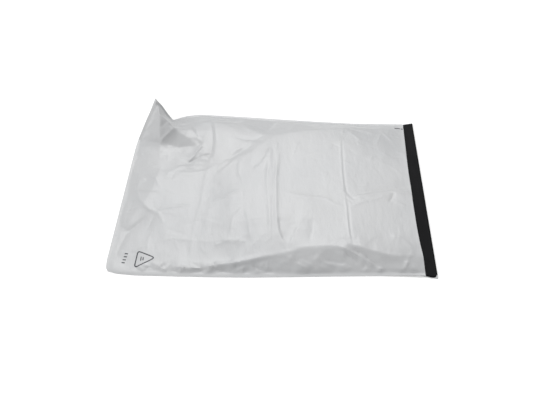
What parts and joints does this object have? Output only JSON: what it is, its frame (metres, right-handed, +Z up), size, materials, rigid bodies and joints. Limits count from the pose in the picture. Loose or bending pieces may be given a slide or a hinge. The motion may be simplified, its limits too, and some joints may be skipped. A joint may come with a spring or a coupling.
{
  "type": "poly mailer",
  "caption": "Plastic film mailing bag lying open and softly swollen, with a peaked corner and a flap with glue line and liner folded under at the mouth.",
  "frame": {"origin": "centre of the bounding box in plan, on the surface the bag lies on", "axes": "+X from the closed end to the mouth, +Y to the far seam, +Z up"},
  "size_m": [0.4666, 0.35, 0.0418],
  "materials": {
    "film": "opaque white satin film outside, black inside",
    "adhesive": "glossy pale amber hot-melt glue",
    "liner": "thin pale siliconised film"
  },
  "bodies": {
    "root": {"mailer_film": "film", "adhesive_strip": "adhesive", "release_liner": "liner"}
  },
  "joints": []
}
